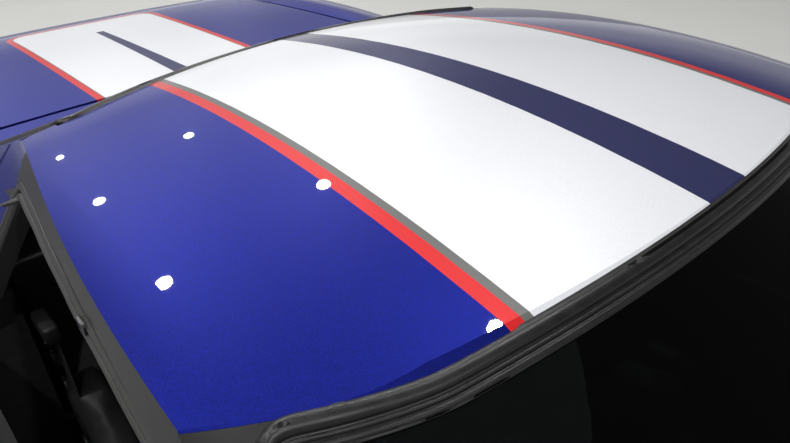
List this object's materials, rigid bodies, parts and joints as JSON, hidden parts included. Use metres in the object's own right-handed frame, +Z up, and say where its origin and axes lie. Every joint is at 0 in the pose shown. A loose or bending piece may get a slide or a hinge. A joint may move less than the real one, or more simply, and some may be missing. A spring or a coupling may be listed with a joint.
{
  "type": "sports car",
  "caption": "Low two-seat sports coupe with a fixed roof, two hinged doors, a bonnet, a boot lid and steered front wheels, in blue with a silver centre band.",
  "frame": {"origin": "on the floor under the middle of the car's length and width", "axes": "+X points forward, +Y to the car's left, +Z up"},
  "size_m": [4.564, 2.086, 1.2119],
  "materials": {
    "body_paint": "metallic blue under a gloss clear coat with a silver band edged in grey and red",
    "trim_black": "grained satin black",
    "seal_rubber": "matt",
    "tinted_glass": "clear, lightly tinted",
    "chassis_metal": "satin black",
    "rim_alloy": "painted silver",
    "tyre_rubber": "matt",
    "disc_iron": "turned",
    "knuckle_alloy": "cast",
    "arm_steel": "satin",
    "engine_alloy": "cast",
    "exhaust_steel": "polished tips",
    "seat_leather": "black, stitched seams",
    "cabin_plastic": "grained black",
    "lamp_lens": "clear moulded lens",
    "tail_lens": "clear red"
  },
  "bodies": {
    "chassis": {"front_fascia": "body_paint", "front_fender_left": "body_paint", "front_fender_right": "body_paint", "sills": "body_paint", "quarter_panel_left": "body_paint", "quarter_panel_right": "body_paint", "rear_fascia": "body_paint", "deck_panel": "body_paint", "roof_panel": "body_paint", "windshield_frame": "body_paint", "cowl_panel": "trim_black", "windshield_glass": "tinted_glass", "rear_glass": "tinted_glass", "windshield_moulding": "seal_rubber", "rear_glass_moulding": "seal_rubber", "door_weatherstrips": "seal_rubber", "chassis": "chassis_metal", "wheel_houses": "trim_black", "front_suspension": "arm_steel", "rear_suspension": "arm_steel", "rear_knuckles": "knuckle_alloy", "engine_block": "engine_alloy", "exhaust": "exhaust_steel", "dashboard": "cabin_plastic", "console": "cabin_plastic", "seat_left": "seat_leather", "seat_right": "seat_leather", "front_lamps": "lamp_lens", "front_lamp_cups": "trim_black", "tail_lamps": "tail_lens", "tail_lamp_cups": "trim_black", "grilles": "trim_black"},
    "door_left": {"door_left": "body_paint", "mirror_left": "body_paint", "door_trim_left": "cabin_plastic"},
    "door_right": {"door_right": "body_paint", "mirror_right": "body_paint", "door_trim_right": "cabin_plastic"},
    "bonnet": {"bonnet": "body_paint"},
    "boot_lid": {"boot_lid": "body_paint"},
    "knuckle_front_left": {"knuckle_front_left": "knuckle_alloy"},
    "knuckle_front_right": {"knuckle_front_right": "knuckle_alloy"},
    "steering_wheel": {"steering_wheel": "cabin_plastic"},
    "wheel_front_left": {"rim_front_left": "rim_alloy", "tyre_front_left": "tyre_rubber", "brake_disc_front_left": "disc_iron"},
    "wheel_front_right": {"rim_front_right": "rim_alloy", "tyre_front_right": "tyre_rubber", "brake_disc_front_right": "disc_iron"},
    "wheel_rear_left": {"rim_rear_left": "rim_alloy", "tyre_rear_left": "tyre_rubber", "brake_disc_rear_left": "disc_iron"},
    "wheel_rear_right": {"rim_rear_right": "rim_alloy", "tyre_rear_right": "tyre_rubber", "brake_disc_rear_right": "disc_iron"}
  },
  "joints": [
    {"name": "steer_left", "type": "hinge", "parent": "chassis", "child": "knuckle_front_left", "pos_m": [1.282, 0.735, 0.322], "axis": [0, 0, 1], "range_deg": [-33, 33]},
    {"name": "steer_right", "type": "hinge", "parent": "chassis", "child": "knuckle_front_right", "pos_m": [1.282, -0.735, 0.322], "axis": [0, 0, 1], "range_deg": [-33, 33]},
    {"name": "steering_wheel_turn", "type": "hinge", "parent": "chassis", "child": "steering_wheel", "pos_m": [0.25, 0.37, 0.77], "axis": [-0.9135, 0, 0.4067], "range_deg": [-495, 495]},
    {"name": "wheel_front_left_spin", "type": "hinge", "parent": "knuckle_front_left", "child": "wheel_front_left", "pos_m": [1.282, 0.78, 0.322], "axis": [0, 1, 0], "continuous": true},
    {"name": "wheel_front_right_spin", "type": "hinge", "parent": "knuckle_front_right", "child": "wheel_front_right", "pos_m": [1.282, -0.78, 0.322], "axis": [0, 1, 0], "continuous": true},
    {"name": "wheel_rear_left_spin", "type": "hinge", "parent": "chassis", "child": "wheel_rear_left", "pos_m": [-1.372, 0.772, 0.332], "axis": [0, 1, 0], "continuous": true},
    {"name": "wheel_rear_right_spin", "type": "hinge", "parent": "chassis", "child": "wheel_rear_right", "pos_m": [-1.372, -0.772, 0.332], "axis": [0, 1, 0], "continuous": true},
    {"name": "door_left_hinge", "type": "hinge", "parent": "chassis", "child": "door_left", "pos_m": [0.615, 0.842, 0.54], "axis": [0, 0, -1], "range_deg": [0, 65]},
    {"name": "door_right_hinge", "type": "hinge", "parent": "chassis", "child": "door_right", "pos_m": [0.615, -0.842, 0.54], "axis": [0, 0, 1], "range_deg": [0, 65]},
    {"name": "bonnet_hinge", "type": "hinge", "parent": "chassis", "child": "bonnet", "pos_m": [0.675, 0, 0.795], "axis": [0, -1, 0], "range_deg": [0, 50]},
    {"name": "boot_lid_hinge", "type": "hinge", "parent": "chassis", "child": "boot_lid", "pos_m": [-1.48, 0, 0.903], "axis": [0, 1, 0], "range_deg": [0, 60]}
  ],
  "couplings": [
    {"joint": "steer_right", "follows": "steer_left", "ratio": 1},
    {"joint": "steering_wheel_turn", "follows": "steer_left", "ratio": 15}
  ]
}
